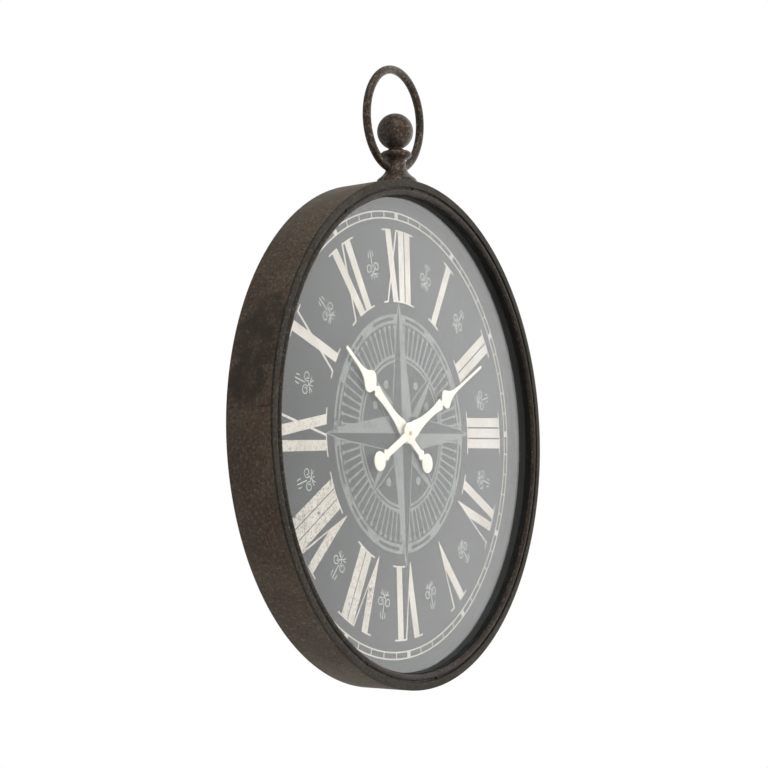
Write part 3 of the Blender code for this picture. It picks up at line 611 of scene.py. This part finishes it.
charcoal = ground_finish()
cream = cream_finish()
compass_grey = grey_finish("compass_ink", (112, 115, 111), 0.5)
ornament_grey = grey_finish("ornament_ink", (176, 178, 170), 0.25)
hoop_section = [
    (SIGHT + 0.6, DIAL + 0.3), (GLASS, DIAL + 0.3), (GLASS, pane_back - 0.3), (SIGHT + 0.6, pane_back - 0.3),
]
finished("spacer_hoop", spun(hoop_section, True), charcoal, "root", ["spacer_ring"])
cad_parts["dial_print"].data.materials.clear()
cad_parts["dial_print"].data.materials.append(charcoal)

# %% [markdown]
# ### Minute track
# Two thin rings near the edge carry a short bar at each minute and a solid block every five minutes.

# %% Rings, bars and blocks
TRACK_INNER, TRACK_OUTER, TRACK_LINE = 258.3, 266.2, 1.7
track = bmesh.new()
for radius in (TRACK_INNER, TRACK_OUTER):
    ink_arc(track, radius - TRACK_LINE / 2, radius + TRACK_LINE / 2, 0, 360, 0.06, ROUND)
for minute in range(60):
    half = 3.7 if minute % 5 == 0 else 0.85
    turn = radians(6 * minute)
    low, high = TRACK_INNER + 0.2, TRACK_OUTER - 0.2
    bar = [on_dial(r, turn + side * half / r) for r, side in ((low, -1), (low, 1), (high, 1), (high, -1))]
    ink_shape(track, bar, 0.08)
finished("minute_track", track, cream, "root", merge=False)

# %% [markdown]
# ### Numerals
# The numerals are drawn as a sign painter would: thick strokes one way, thin strokes the other, and fine serifs
# that follow the circle. A table gives each numeral's letters with the place of their left edge, and a letter is
# a few strokes between the outer and the inner line, so no font is needed.

# %% Letters as strokes
TOP, BASE = 245.5, 157.7
THICK, THIN, SERIF = 12.2, 2.9, 1.9
V_POINT, V_NOTCH, V_THIN = 154.0, 192.0, 28.7
X_FOOT, X_THIN = 14.2, 23.6
STROKES = {
    "I": [[(0, TOP), (THICK, TOP), (THICK, BASE), (0, BASE)]],
    "X": [
        [(0, TOP), (THICK, TOP), (X_FOOT + THICK, BASE), (X_FOOT, BASE)],
        [(X_THIN, TOP), (X_THIN + THIN, TOP), (THIN, BASE), (0, BASE)],
    ],
    "V": [[
        (0, TOP), (THICK, TOP), (21.8, V_NOTCH), (V_THIN, TOP), (V_THIN + THIN, TOP), (17.0, V_POINT),
        (16.0, V_POINT),
    ]],
}
NUMERALS = {
    1: (("I", -5.3),),
    2: (("I", -10.9), ("I", 3.3)),
    3: (("I", -21.4), ("I", -7.1), ("I", 7.1)),
    4: (("I", -23.4), ("V", -6.4)),
    5: (("V", -16.5),),
    6: (("V", -25.9), ("I", 10.4)),
    7: (("V", -38.1), ("I", -6.4), ("I", 7.2)),
    8: (("V", -36.8), ("I", -5.6), ("I", 7.9), ("I", 21.4)),
    9: (("I", -20.3), ("X", -4.3)),
    10: (("X", -14.0),),
    11: (("X", -19.1), ("I", 10.4)),
    12: (("X", -26.2), ("I", 2.8), ("I", 17.0)),
}


def numeral_point(across, radius, hour):
    """Strokes draw together a little towards the middle, and stay square to the circle."""
    narrowed = across * (1 - 0.04 * (TOP - radius) / (TOP - BASE))
    return on_dial(radius, radians(30 * hour) + narrowed / radius)


def serif(bm, left, right, radius, hour, lift):
    count = 8
    spans = [left + (right - left) * i / count for i in range(count + 1)]
    low = [numeral_point(across, radius - SERIF / 2, hour) for across in spans]
    high = [numeral_point(across, radius + SERIF / 2, hour) for across in spans]
    ink_shape(bm, low + high[::-1], lift)


def serif_spans(letters):
    """The spans that share one serif: (left, right) at the top line, and the same at the base line."""
    reach = 7.4
    tops, bases = [[]], [[]]
    for letter, left in letters:
        tops[-1] += [left, left + THICK]
        if letter == "I":
            bases[-1] += [left - reach, left + THICK + reach]
        if letter == "X":
            bases[-1] += [left - reach, left + THIN]
            bases.append([left + X_FOOT, left + X_FOOT + THICK + reach])
            tops.append([left + X_THIN, left + X_THIN + THIN])
        if letter == "V":
            bases.append([])
            tops.append([left + V_THIN, left + V_THIN + THIN])
    tops[0].append(min(tops[0]) - reach)
    tops[-1].append(max(tops[-1]) + reach)
    return [[(min(run), max(run)) for run in runs if run] for runs in (tops, bases)]


numerals = bmesh.new()
for hour, letters in NUMERALS.items():
    for letter, left in letters:
        for step, stroke in enumerate(STROKES[letter]):
            ink_shape(numerals, [numeral_point(left + x, r, hour) for x, r in stroke], 0.06 + 0.012 * step)
    for radius, spans, inset in zip((TOP, BASE), serif_spans(letters), (-1, 1)):
        for number, (left, right) in enumerate(spans):
            serif(numerals, left, right, radius + inset * SERIF / 2, hour, 0.09 + 0.008 * number)
finished("numerals", numerals, cream, "root", merge=False)

# %% [markdown]
# ### Half-hour ornaments
# Between the numerals stands a small pen flourish: a stem with two drooping tips, a scroll on each side, and a
# fan of short strokes below. Each stroke is a line of points, and one flourish is placed at twelve angles.

# %% One flourish, twelve times
ORNAMENT_RADIUS = 206.0
ORNAMENT_ANGLES = (18.6, 44.8, 77.4, 107.2, 137.2, 164.4, 194.6, 224.0, 255.4, 285.6, 312.2, 344.2)


def scroll(side):
    """A spiral that leaves the stem, rises over the top and curls in."""
    centre_x, centre_z = 7.7 * side, -4.6
    line = [(-0.6 * side, -11.0), (0.8 * side, -9.2), (2.0 * side, -8.4)]
    turns = 26
    for i in range(turns):
        t = i / (turns - 1)
        angle = radians(215 - 430 * t)
        radius = 5.3 - 3.4 * t * t
        line.append((centre_x + side * radius * cos(angle), centre_z + radius * sin(angle)))
    return line


def bowed(start, end, bend):
    """A short stroke with a bend to one side."""
    middle = ((start[0] + end[0]) / 2 + bend, (start[1] + end[1]) / 2)
    return curve_through([start, middle, end], 4)


flourish = [
    ([(0, 16.5), (0, 8), (0, -2.5)], 1.2),
    ([(0, -12.0), (0, -14), (0, -17.2)], 0.9),
    (scroll(-1), 1.0),
    (scroll(1), 1.0),
]
for side in (-1, 1):
    flourish += [
        (bowed((4.0 * side, 15.2), (4.6 * side, 8.4), 0.5 * side), 1.0),
        (bowed((1.0 * side, -11.0), (6.6 * side, -17.4), 0.7 * side), 1.0),
        (bowed((3.2 * side, -11.4), (9.4 * side, -13.8), 0.6 * side), 0.9),
    ]
ornaments = bmesh.new()
for angle in ORNAMENT_ANGLES:
    turn = radians(angle)
    for number, (line, width) in enumerate(flourish):
        placed = []
        for x, z in line:
            out = ORNAMENT_RADIUS + z
            placed.append((out * sin(turn) + x * cos(turn), out * cos(turn) - x * sin(turn)))
        ink_line(ornaments, placed, width, 0.05 + 0.004 * number)
finished("half_hour_ornaments", ornaments, ornament_grey, "root", merge=False)

# %% [markdown]
# ### Compass rose
# In the middle is a compass: an outer band with long windows, sixty-eight balusters that stand between two
# rings, eight dots, a four-pointed star and four lesser points on the diagonals. One half of each point is
# grey, and the other is the ground colour inside a thin outline, which makes the star look folded.

# %% Bands and rings
rings = bmesh.new()
for low, high in ((131.8, 135.6), (139.5, 143.3), (85.7, 88.8), (91.0, 94.6)):
    ink_arc(rings, low, high, 0, 360, 0.05, ROUND)
for quarter in range(4):
    for start, end in ((-6, 6), (24.5, 36), (44.3, 45.7), (54, 65.5)):
        ink_arc(rings, 135.4, 139.7, 90 * quarter + start, end - start, 0.056, 10)
finished("compass_rings", rings, compass_grey, "root", merge=False)

# %% Balusters and dots
HEAD_RADIUS, HEAD_PLACE = 2.7, 127.6
balusters = bmesh.new()
for number in range(72):
    if number % 18 == 0:
        continue
    turn = radians(5 * number)
    half = [(93.5, 1.9), (97, 1.35), (104, 1.2), (113, 1.5), (120, 1.15), (123.5, 0.85)]
    half += [(HEAD_PLACE - HEAD_RADIUS * cos(a), HEAD_RADIUS * sin(a)) for a in (0.6, 1.2, 1.8, 2.4, 3.0)]
    outline = half + [(r, -w) for r, w in reversed(half)]
    shape = [(r * sin(turn) + w * cos(turn), r * cos(turn) - w * sin(turn)) for r, w in outline]
    ink_shape(balusters, shape, 0.044)
finished("compass_balusters", balusters, compass_grey, "root", merge=False)
DOT_PLACE, DOT = 66.4, 5.2
dots = bmesh.new()
for quarter in range(4):
    for angle in (30, 60):
        x, z = on_dial(DOT_PLACE, radians(90 * quarter + angle))
        ring = [(x + DOT * cos(a), z + DOT * sin(a)) for a in (2 * pi * i / 20 for i in range(20))]
        ink_shape(dots, ring, 0.05)
finished("compass_dots", dots, compass_grey, "root", merge=False)

# %% The star and the lesser points
STAR = [(158.5, 0), (151, 2.6), (135.6, 6.6), (112.7, 10.2), (73.4, 15.0), (22.0, 22.0)]
LESSER = [(106, 0), (98, 1.6), (86.5, 4.4), (73.4, 7.6), (40, 12.0)]
light, dark, outline = bmesh.new(), bmesh.new(), bmesh.new()


def folded_point(half, angle, lift):
    """One point of the star: the half that is clockwise of its ridge is grey, and the other is outlined."""
    turn = radians(angle)

    def placed(along, across):
        return along * sin(turn) + across * cos(turn), along * cos(turn) - across * sin(turn)

    ink_shape(light, [placed(0, 0)] + [placed(r, w) for r, w in half], lift + 0.008)
    ink_shape(dark, [placed(0, 0)] + [placed(r, -w) for r, w in half], lift)
    ink_line(outline, [placed(r, -max(w - 0.7, 0)) for r, w in half], 1.7, lift + 0.004)


for quarter in range(4):
    folded_point(LESSER, 45 + 90 * quarter, 0.064)
for quarter in range(4):
    folded_point(STAR, 90 * quarter, 0.084)
finished("star_light_halves", light, compass_grey, "root", merge=False)
finished("star_dark_halves", dark, charcoal, "root", merge=False)
finished("star_outlines", outline, compass_grey, "root", merge=False)

# %% [markdown]
# ## Hands
# The hands are cut from 1 mm sheet and enamelled ivory: a round hub, a blade that swells and pinches to a small
# shoulder, a spade, a long needle, and a disc on the tail. Half of the outline is given as distance along the
# hand and half width. A smooth curve through it is mirrored, and the cut edge is eased.


# %% Ivory enamel
def ivory_finish():
    finish = Finish("ivory_enamel")
    clouds = finish.noise(60, 4, 0.6)
    grain = finish.noise(800, 3, 0.6)
    specks = finish.noise(330, 2, 0.6).between(0.72, 0.78)
    colour = finish.blend(clouds.between(0.35, 0.65), linear(220, 213, 198), linear(230, 225, 212))
    colour = finish.blend(specks * 0.4, colour, linear(190, 178, 158))
    return finish.surface(colour, 0.42 + (clouds - 0.5) * 0.2, finish.bump(grain, 0.00003))


ivory = ivory_finish()

# %% Outlines and blades
HOUR_TURN, MINUTE_TURN = 308.5, 64.3
HOUR_BLADE = [
    (14.5, 9.6), (22, 7.4), (32, 5.7), (46, 5.0), (62, 5.4), (72, 6.3), (78.5, 7.2), (80, 6.9), (81.5, 4.0),
    (84.5, 3.8), (86, 6.6), (89.5, 11.4), (94, 13.8), (98, 14.0), (103, 10.9), (108, 7.0), (114, 4.5),
    (122, 3.1), (135, 2.5), (156, 2.3),
]
MINUTE_BLADE = [
    (15, 9.8), (22, 7.9), (33, 6.1), (48, 4.9), (62, 4.9), (74, 5.9), (82, 7.0), (83.5, 6.7), (85, 3.6),
    (88, 3.3), (89.5, 5.8), (93.5, 10.6), (97.5, 12.2), (101, 11.3), (106, 8.0), (112, 5.2), (119, 3.4),
    (130, 2.3), (150, 1.8), (200.6, 1.6),
]


def hand(name, node, blade, tail, hub, turn, body):
    tail_centre, disc = tail
    collar = tail_centre + disc
    half = arc_points((tail_centre, 0), disc, 176, 26, 22)
    half += curve_through([(collar + 0.8, 3.4), (collar + 2.4, 6.2), (collar + 6.2, 6.6), (collar + 8.6, 4.4)], 4)
    half += arc_points((0, 0), hub, 158, 52, 22)
    half += curve_through(blade, 4)
    outline = half + [(along, -width) for along, width in reversed(half)]
    low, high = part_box(node)
    back, front = -high.y / MM, -low.y / MM
    angle = radians(turn)
    bm = bmesh.new()
    corners = []
    for along, width in outline:
        x, z = along * sin(angle) + width * cos(angle), along * cos(angle) - width * sin(angle)
        corners.append(bm.verts.new(spot(x, back, z)))
    face = bm.faces.new(corners)
    swept = bmesh.ops.extrude_face_region(bm, geom=[face])
    top = [part for part in swept["geom"] if isinstance(part, bmesh.types.BMVert)]
    bmesh.ops.translate(bm, verts=top, vec=(0, (back - front) * MM, 0))
    bmesh.ops.recalc_face_normals(bm, faces=bm.faces)
    rim_edges = [edge for edge in bm.edges if edge.calc_face_angle(0) > radians(70)]
    front_edges = [edge for edge in rim_edges if all(vert in top for vert in edge.verts)]
    bmesh.ops.bevel(
        bm, geom=front_edges, offset=0.22 * MM, segments=2, profile=0.5, affect="EDGES", material=-1,
        clamp_overlap=True,
    )
    finished(name, bm, ivory, body, [node])


hand("hour_blade", "hour_hand", HOUR_BLADE, (-59, 12), 12.5, HOUR_TURN, "hour")
hand("minute_blade", "minute_hand", MINUTE_BLADE, (-75.2, 11.5), 13, MINUTE_TURN, "minute")

# %% [markdown]
# ## Finishes of the works
# The movement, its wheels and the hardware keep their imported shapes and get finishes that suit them: brushed
# and plated metal, moulded plastic, fibre board, rubber, wound wire and a printed battery sleeve.


# %% Recipes for metal, plastic and board
def brushed_metal(name, tone, roughness, along=(1, 1, 30)):
    finish = Finish(name)
    strokes = finish.noise(160, 4, 0.6, finish.stretched(along))
    smears = finish.noise(40, 4, 0.6)
    colour = finish.blend(strokes.between(0.35, 0.65), tuple(c * 0.82 for c in tone), tone)
    colour = finish.blend(smears.between(0.6, 0.8) * 0.4, colour, tuple(c * 0.6 for c in tone))
    gloss = roughness + (strokes - 0.5) * 0.2 + (smears - 0.5) * 0.15
    return finish.surface(colour, gloss, finish.bump(strokes, 0.00003), Metallic=1.0)


def moulded_plastic(name, tone, roughness, grain=0.00005):
    finish = Finish(name)
    texture = finish.noise(900, 3, 0.6)
    flow = finish.noise(25, 4, 0.5)
    colour = finish.blend(flow.between(0.3, 0.7), tone, tuple(min(1, c * 1.25 + 0.004) for c in tone))
    colour = finish.blend(texture.between(0.6, 0.8) * 0.25, colour, tuple(min(1, c * 1.6 + 0.01) for c in tone))
    return finish.surface(colour, roughness + (texture - 0.5) * 0.2, finish.bump(texture, grain))


def fibre_board():
    finish = Finish("fibre_board")
    fibres = finish.noise(260, 5, 0.7, finish.stretched((1, 1, 0.35)))
    clouds = finish.noise(12, 4, 0.6)
    chips = finish.noise(620, 3, 0.7).between(0.62, 0.75)
    colour = finish.blend(fibres.between(0.35, 0.65), linear(142, 112, 82), linear(170, 138, 104))
    colour = finish.blend(clouds.between(0.4, 0.7) * 0.4, colour, linear(124, 96, 68))
    colour = finish.blend(chips * 0.5, colour, linear(96, 72, 50))
    return finish.surface(colour, 0.85 + (fibres - 0.5) * 0.2, finish.bump(fibres, 0.00012))


def wound_wire():
    finish = Finish("wound_copper_wire")
    across = finish.part("X") * (2 * pi / (0.12 * MM))
    turns = finish.node("ShaderNodeMath", {"operation": "SINE"}, {0: across}) * 0.5 + 0.5
    colour = finish.blend(turns.between(0.1, 0.9), linear(120, 52, 24), linear(206, 118, 66))
    colour = finish.blend(finish.noise(400, 3).between(0.5, 0.7) * 0.3, colour, linear(98, 44, 22))
    return finish.surface(colour, 0.3 + turns * 0.15, finish.bump(turns, 0.00003), Metallic=0.8)


def battery_sleeve():
    finish = Finish("battery_sleeve")
    along = finish.part("X")
    copper_end = along.between(0.0098, 0.0102)
    metal = along.between(0.0238, 0.0240).at_least(along.between(-0.0242, -0.0244))
    scuffs = finish.noise(90, 5, 0.7).between(0.58, 0.7)
    colour = finish.blend(copper_end, linear(24, 28, 34), linear(178, 118, 60))
    colour = finish.blend(metal, colour, linear(186, 188, 190))
    colour = finish.blend(scuffs * 0.25, colour, linear(120, 118, 112))
    return finish.surface(colour, 0.3 + scuffs * 0.2, finish.bump(scuffs, 0.00002), Metallic=0.35)


# %% Each carried-over node and its finish
steel = brushed_metal("zinc_steel", linear(184, 186, 188), 0.38)
dark_steel = brushed_metal("screw_steel", linear(150, 148, 142), 0.42)
turned_brass = brushed_metal("turned_brass", linear(212, 178, 104), 0.3, (8, 8, 8))
black_plastic = moulded_plastic("black_plastic", linear(26, 26, 27), 0.5, 0.00008)
white_plastic = moulded_plastic("white_acetal", linear(226, 224, 214), 0.45)
works = {
    steel: ["hanger_plate", "retainer_tab_1", "retainer_tab_2", "retainer_tab_3", "retainer_tab_4", "stator",
            "rotor", "quartz_crystal", "contact_positive", "contact_negative"],
    dark_steel: ["tab_screw_1", "tab_screw_2", "tab_screw_3", "tab_screw_4", "pendant_bolt"],
    turned_brass: ["hand_nut", "hexagon_nut", "brass_washer", "threaded_bushing", "minute_wheel", "third_wheel"],
    black_plastic: ["movement_case", "movement_cover", "controller_chip", "setting_knob"],
    white_plastic: ["hour_wheel", "motion_wheel", "setting_arbor", "fourth_wheel", "fifth_wheel"],
    moulded_plastic("black_rubber", linear(34, 34, 34), 0.85): ["rubber_washer"],
    moulded_plastic("green_laminate", linear(28, 92, 58), 0.4): ["circuit_board"],
    fibre_board(): ["dial_board"],
    wound_wire(): ["coil"],
    battery_sleeve(): ["battery"],
}
for finish, nodes in works.items():
    for node in nodes:
        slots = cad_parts[node].data.materials
        slots.clear()
        slots.append(finish)
print("finished nodes:", sum(len(nodes) for nodes in works.values()) + 1)

# %% [markdown]
# ## Floor, light and camera
# The clock hangs in the air over a plain pale floor. A white surround lights it softly, brighter from the
# reader's right, which also puts the pale sheen on the glass. A large lamp in front lights the dial, and a
# smaller one above gives the turned pieces shape.


# %% Floor
def floor_finish():
    finish = Finish("pale_floor")
    clouds = finish.noise(3, 4, 0.5)
    colour = finish.blend(clouds, (0.80, 0.80, 0.79), (0.84, 0.84, 0.83))
    return finish.surface(colour, 0.8 + (clouds - 0.5) * 0.1)


FLOOR_DROP = 1.25
bm = bmesh.new()
bmesh.ops.create_circle(bm, cap_ends=True, segments=96, radius=2.2, matrix=Matrix.Translation((0, 0, -FLOOR_DROP)))
floor_mesh = bpy.data.meshes.new("floor")
bm.to_mesh(floor_mesh)
bm.free()
floor_mesh.materials.append(floor_finish())
floor = bpy.data.objects.new("floor", floor_mesh)
bpy.context.scene.collection.objects.link(floor)

# %% Surround and lamps
world = bpy.data.worlds.new("white_surround")
world.use_nodes = True
bpy.context.scene.world = world
tree = world.node_tree
background = tree.nodes["Background"]
toward = tree.nodes.new("ShaderNodeTexCoord")
sides = tree.nodes.new("ShaderNodeSeparateXYZ")
tree.links.new(toward.outputs["Generated"], sides.inputs[0])
level_off = tree.nodes.new("ShaderNodeMath")
level_off.operation = "ABSOLUTE"
tree.links.new(sides.outputs["Z"], level_off.inputs[0])
leaning = tree.nodes.new("ShaderNodeMath")
leaning.operation = "MULTIPLY_ADD"
leaning.inputs[1].default_value = 0.35
tree.links.new(level_off.outputs[0], leaning.inputs[0])
tree.links.new(sides.outputs["X"], leaning.inputs[2])
brighter = tree.nodes.new("ShaderNodeMapRange")
brighter.interpolation_type = "SMOOTHSTEP"
for socket, value in (("From Min", 0.72), ("From Max", 0.94), ("To Min", 0.5), ("To Max", 1.75)):
    brighter.inputs[socket].default_value = value
tree.links.new(leaning.outputs[0], brighter.inputs["Value"])
seen = tree.nodes.new("ShaderNodeLightPath")
strength = tree.nodes.new("ShaderNodeMix")
tree.links.new(seen.outputs["Is Camera Ray"], strength.inputs[0])
tree.links.new(brighter.outputs[0], strength.inputs[2])
strength.inputs[3].default_value = 1.0
tree.links.new(strength.outputs[0], background.inputs["Strength"])
background.inputs["Color"].default_value = (1, 1, 1, 1)


def lamp(name, place, aim, size, power, mirrored=True):
    data = bpy.data.lights.new(name, "AREA")
    data.shape = "DISK"
    data.size = size
    data.energy = power
    made = bpy.data.objects.new(name, data)
    made.location = place
    made.rotation_euler = (Vector(aim) - Vector(place)).to_track_quat("-Z", "Y").to_euler()
    bpy.context.scene.collection.objects.link(made)
    made.visible_glossy = mirrored


centre = spot(0, DIAL, 0)
lamp("lamp_front", (0.3, -2.6, 0.5), centre, 1.6, 46, mirrored=False)
lamp("lamp_above", (-0.9, -1.0, 1.5), centre, 0.9, 14)
bpy.context.scene.view_settings.view_transform = "Standard"

# %% Camera
AZIMUTH, ELEVATION, ROLL = radians(-57.336), radians(-3.300), radians(-1.639)
back = Vector((sin(AZIMUTH) * cos(ELEVATION), -cos(AZIMUTH) * cos(ELEVATION), sin(ELEVATION)))
level = Vector((0, 0, 1)).cross(back).normalized()
upright = back.cross(level)
right = level * cos(ROLL) + upright * sin(ROLL)
up = upright * cos(ROLL) - level * sin(ROLL)
camera_data = bpy.data.cameras.new("camera")
camera_data.lens = 66.87
camera_data.sensor_width = 36
camera = bpy.data.objects.new("camera", camera_data)
place = Vector((-1.44968, -0.93231, -0.30072))
camera.matrix_world = Matrix.Translation(place) @ Matrix((right, up, back)).transposed().to_4x4()
bpy.context.scene.collection.objects.link(camera)
bpy.context.scene.camera = camera
print(f"camera {(place - centre).length:.3f} m from the dial")
